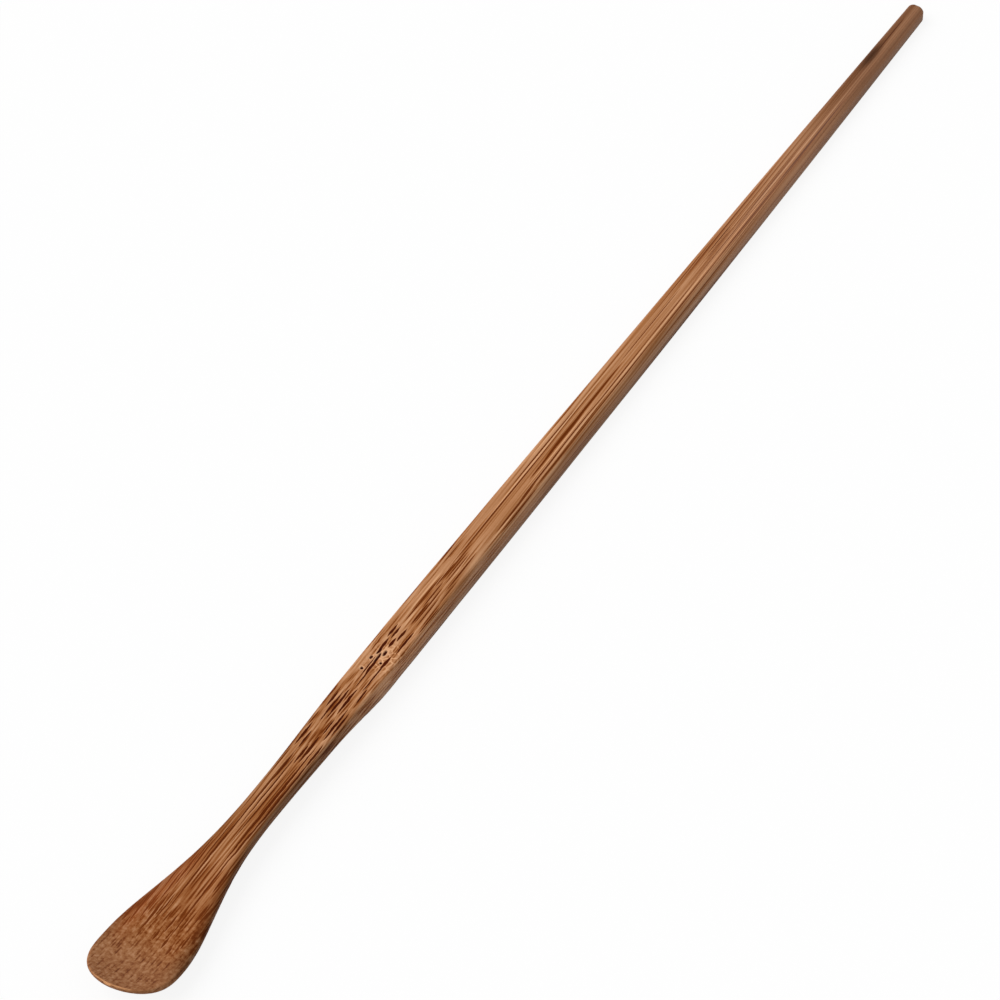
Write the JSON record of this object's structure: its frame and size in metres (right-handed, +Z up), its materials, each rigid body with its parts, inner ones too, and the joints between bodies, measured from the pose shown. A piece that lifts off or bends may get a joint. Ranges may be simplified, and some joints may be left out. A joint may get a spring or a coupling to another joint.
{
  "type": "chashaku tea scoop",
  "caption": "Slender carved bamboo scoop for powdered tea: tapered handle with a flat back, a growth node, a thin neck and a wide shallow blade with an upturned rounded tip.",
  "frame": {"origin": "on the table plane, under the middle of the scoop's length and width", "axes": "+X along the scoop from the handle's end to the blade's tip, +Z up out of the blade's hollow"},
  "size_m": [0.18, 0.0102, 0.0049],
  "materials": {
    "carbonised_bamboo": "hand-sanded, satin"
  },
  "bodies": {
    "root": {"scoop": "carbonised_bamboo"}
  },
  "joints": []
}
